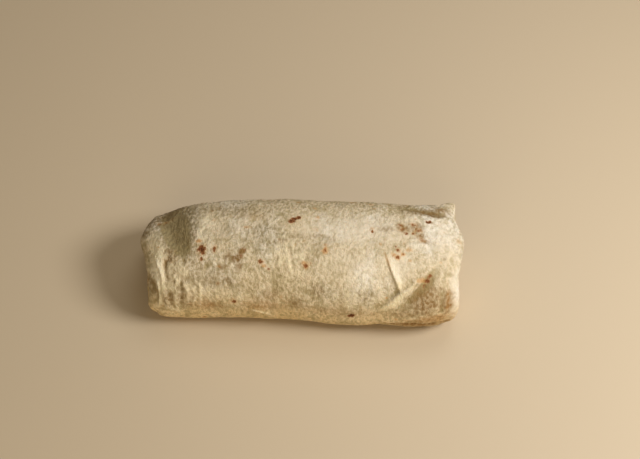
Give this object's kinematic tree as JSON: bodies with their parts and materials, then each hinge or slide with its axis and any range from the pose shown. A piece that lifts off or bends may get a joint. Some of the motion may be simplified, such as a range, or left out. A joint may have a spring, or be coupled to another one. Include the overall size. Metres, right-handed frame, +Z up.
{
  "type": "burrito",
  "caption": "Whole burrito: a toasted flour tortilla rolled round its filling its ends tucked in, lying on its seam.",
  "frame": {"origin": "middle of the bounding box's base, on the surface the burrito lies on", "axes": "+X along the roll toward its fuller end, +Y toward the back, +Z up; the front with the seam's visible end faces -Y"},
  "size_m": [0.1932, 0.075, 0.0547],
  "materials": {
    "toasted_tortilla": "dry matt flour tortilla, cream with tan mottling and scattered brown toasted spots"
  },
  "bodies": {
    "root": {"burrito_roll": "toasted_tortilla"}
  },
  "joints": []
}
